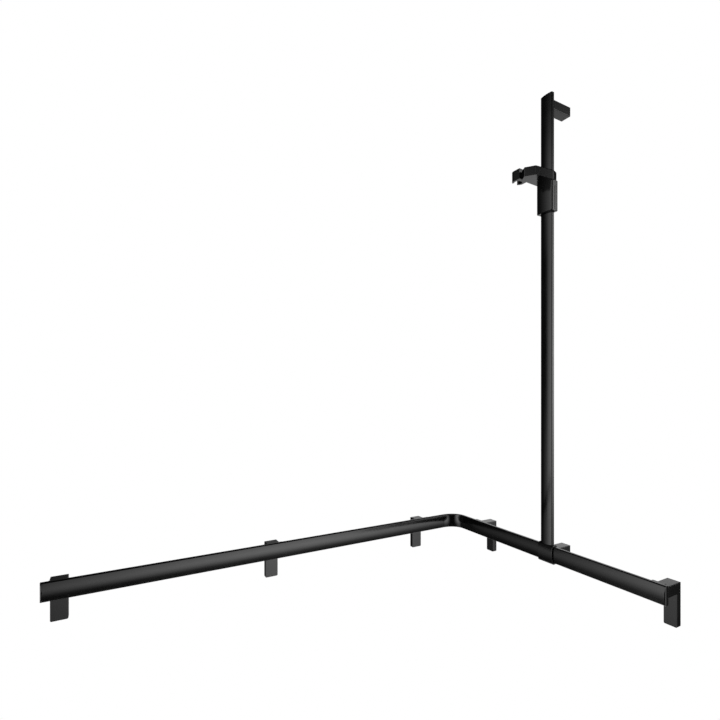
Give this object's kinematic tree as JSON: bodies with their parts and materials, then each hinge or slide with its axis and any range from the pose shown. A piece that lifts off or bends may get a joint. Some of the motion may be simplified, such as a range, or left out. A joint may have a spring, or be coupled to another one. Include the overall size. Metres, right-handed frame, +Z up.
{
  "type": "shower rail",
  "caption": "Black shower handrail that bends round a wall corner on L-shaped brackets, with an upright bar and a sliding, tilting hand-shower cradle.",
  "frame": {"origin": "where the line in which the two walls meet crosses the level of the rail's middle", "axes": "+Z up along the line in which the walls meet; the left wall is the plane Y = 0 and the right wall the plane X = 0, and the rail stands on the -X, -Y side of them"},
  "size_m": [1.12, 0.84, 1.281],
  "materials": {
    "black_metal": "satin black coating",
    "black_plastic": "satin black",
    "dark_liner": "smooth dark bearing plastic",
    "steel": "plain stainless",
    "anchor_metal": "turned",
    "rubber": "dull"
  },
  "bodies": {
    "rail": {"corner_rail": "black_metal", "left_end_cap": "black_plastic", "right_end_cap": "black_plastic", "left_end_bracket": "black_metal", "left_middle_bracket": "black_metal", "left_corner_bracket": "black_metal", "right_corner_bracket": "black_metal", "right_end_bracket": "black_metal", "left_end_cover": "black_plastic", "left_middle_cover": "black_plastic", "left_corner_cover": "black_plastic", "right_corner_cover": "black_plastic", "right_end_cover": "black_plastic", "lower_bar_support": "black_metal", "upper_bar_support": "black_metal", "lower_wall_anchor": "anchor_metal", "upper_wall_anchor": "anchor_metal", "tube_screws": "steel", "tube_inserts": "steel", "grub_screws": "black_metal", "rail_connector": "black_metal", "upright_bar": "black_metal", "bar_top_cap": "black_plastic"},
    "slider": {"slider_body": "black_plastic", "slider_liner": "dark_liner", "cradle_pin": "steel", "cradle_washer": "rubber", "lever_pin": "steel", "lever_spring": "steel"},
    "cradle": {"cradle": "black_plastic"},
    "lever": {"release_lever": "black_plastic", "brake_shoe": "rubber"}
  },
  "joints": [
    {"name": "slider_slide", "type": "slide", "parent": "rail", "child": "slider", "axis": [0, 0, 1], "range_m": [-0.855, 0.16]},
    {"name": "cradle_tilt", "type": "hinge", "parent": "slider", "child": "cradle", "pos_m": [-0.127, -0.4696, 0.978], "axis": [0, -1, 0], "range_deg": [-30, 60]},
    {"name": "lever_press", "type": "hinge", "parent": "slider", "child": "lever", "pos_m": [-0.0675, -0.5222, 0.926], "axis": [1, 0, 0], "range_deg": [0, 2], "stiffness_Nm_per_rad": 1.6, "springref_deg": -2.86, "deforming": ["lever_spring"]}
  ]
}
